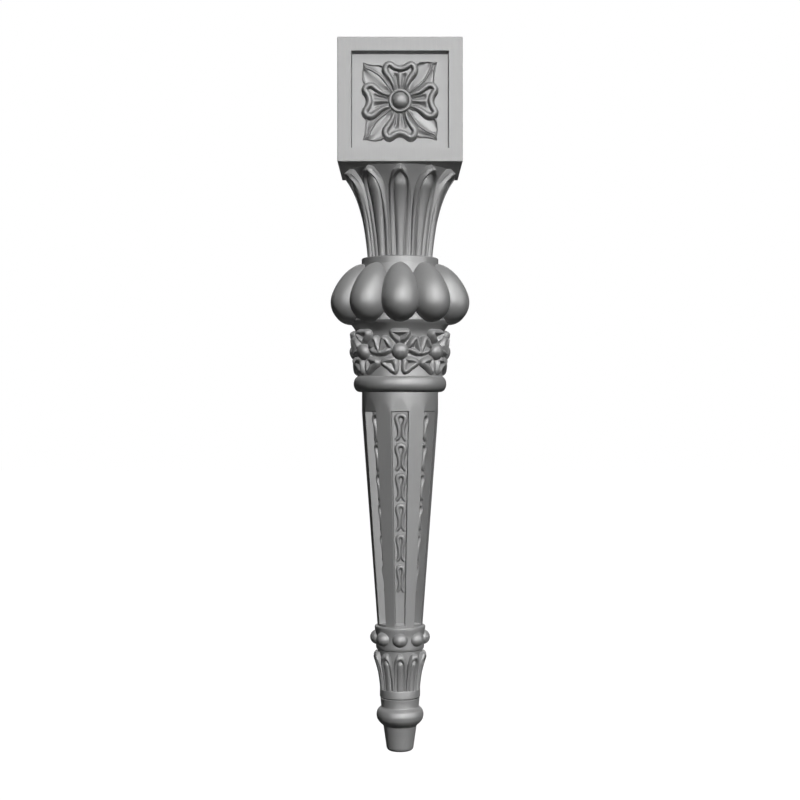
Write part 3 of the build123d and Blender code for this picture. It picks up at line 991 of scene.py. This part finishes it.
# %% The floor
floor_glow = 0.80
pale_grey = (0.30, 0.30, 0.30, 1)
dull_grey = (0.04, 0.04, 0.04, 1)


def pale_floor():
    mesh = bpy.data.meshes.new("floor")
    size = 6.0
    z = floor_z * MM - 0.0002
    corners = [(-size, -size, z), (size, -size, z), (size, size, z), (-size, size, z)]
    mesh.from_pydata(corners, [], [(0, 1, 2, 3)])
    floor = bpy.data.objects.new("floor", mesh)
    bpy.context.scene.collection.objects.link(floor)
    return floor


def floor_material():
    material = bpy.data.materials.new("pale_floor")
    material.use_nodes = True
    nodes, links = material.node_tree.nodes, material.node_tree.links
    nodes.clear()
    white = nodes.new("ShaderNodeEmission")
    white.inputs["Strength"].default_value = floor_glow
    pale = nodes.new("ShaderNodeBsdfDiffuse")
    pale.inputs["Color"].default_value = pale_grey
    both = nodes.new("ShaderNodeAddShader")
    dull = nodes.new("ShaderNodeBsdfDiffuse")
    dull.inputs["Color"].default_value = dull_grey
    choose = nodes.new("ShaderNodeMixShader")
    out = nodes.new("ShaderNodeOutputMaterial")
    links.new(white.outputs[0], both.inputs[0])
    links.new(pale.outputs[0], both.inputs[1])
    links.new(background_seen(nodes, links), choose.inputs[0])
    links.new(dull.outputs[0], choose.inputs[1])
    links.new(both.outputs[0], choose.inputs[2])
    links.new(choose.outputs[0], out.inputs["Surface"])
    return material


floor = pale_floor()
floor.data.materials.append(floor_material())
print("floor at", round(floor_z, 1), "mm")

# %% The backdrop
room_strength = 0.01
world = bpy.data.worlds.new("studio")
bpy.context.scene.world = world
world.use_nodes = True
world_nodes, world_links = world.node_tree.nodes, world.node_tree.links
world_nodes.clear()
room = world_nodes.new("ShaderNodeBackground")
room.inputs["Color"].default_value = (1, 1, 1, 1)
room.inputs["Strength"].default_value = room_strength
backdrop = world_nodes.new("ShaderNodeBackground")
backdrop.inputs["Color"].default_value = (1, 1, 1, 1)
choose = world_nodes.new("ShaderNodeMixShader")
world_out = world_nodes.new("ShaderNodeOutputWorld")
world_links.new(background_seen(world_nodes, world_links), choose.inputs[0])
world_links.new(room.outputs[0], choose.inputs[1])
world_links.new(backdrop.outputs[0], choose.inputs[2])
world_links.new(choose.outputs[0], world_out.inputs["Surface"])
bpy.context.scene.view_settings.view_transform = "Standard"
print("the backdrop is white, the room itself", room_strength)

# %% [markdown]
# ## The lamps
# The photograph has one main lamp high on the right and two broad soft glints, one from the right
# and one from just left of the camera. They throw no shadows there, and hardly any light comes
# from elsewhere, so undersides go dark. The coat's sheen is faint, so its two glints come from
# strong, very wide lamps that light the sheen alone. All are suns, because the light falls the same
# on the top of the leg and on its foot. A back lamp shows the far sides, and one overhead throws
# the soft shadow on the floor.

# %% The lamps
def sun(name, azimuth, elevation, strength, angle):
    """A sun from AZIMUTH degrees right of the camera and ELEVATION degrees up, ANGLE degrees wide."""
    light = bpy.data.lights.new(name, "SUN")
    light.energy = strength
    light.angle = radians(angle)
    lamp = bpy.data.objects.new(name, light)
    lamp.rotation_euler = (radians(90 - elevation), 0.0, radians(azimuth))
    bpy.context.scene.collection.objects.link(lamp)
    return lamp


key_lamp = sun("key_lamp", azimuth=21, elevation=41, strength=2.25, angle=12)
back_lamp = sun("back_lamp", azimuth=185, elevation=40, strength=1.2, angle=20)
glint_right = sun("glint_right", azimuth=44, elevation=23, strength=24.0, angle=78)
glint_left = sun("glint_left", azimuth=-5, elevation=19, strength=21.0, angle=66)
for lamp in (glint_right, glint_left):
    lamp.visible_diffuse = False
for lamp in (key_lamp, back_lamp, glint_right, glint_left):
    lamp.data.use_shadow = False
overhead = sun("overhead_lamp", azimuth=0, elevation=80, strength=0.25, angle=30)
print("lamps:", [lamp.name for lamp in (key_lamp, back_lamp, glint_right, glint_left, overhead)])
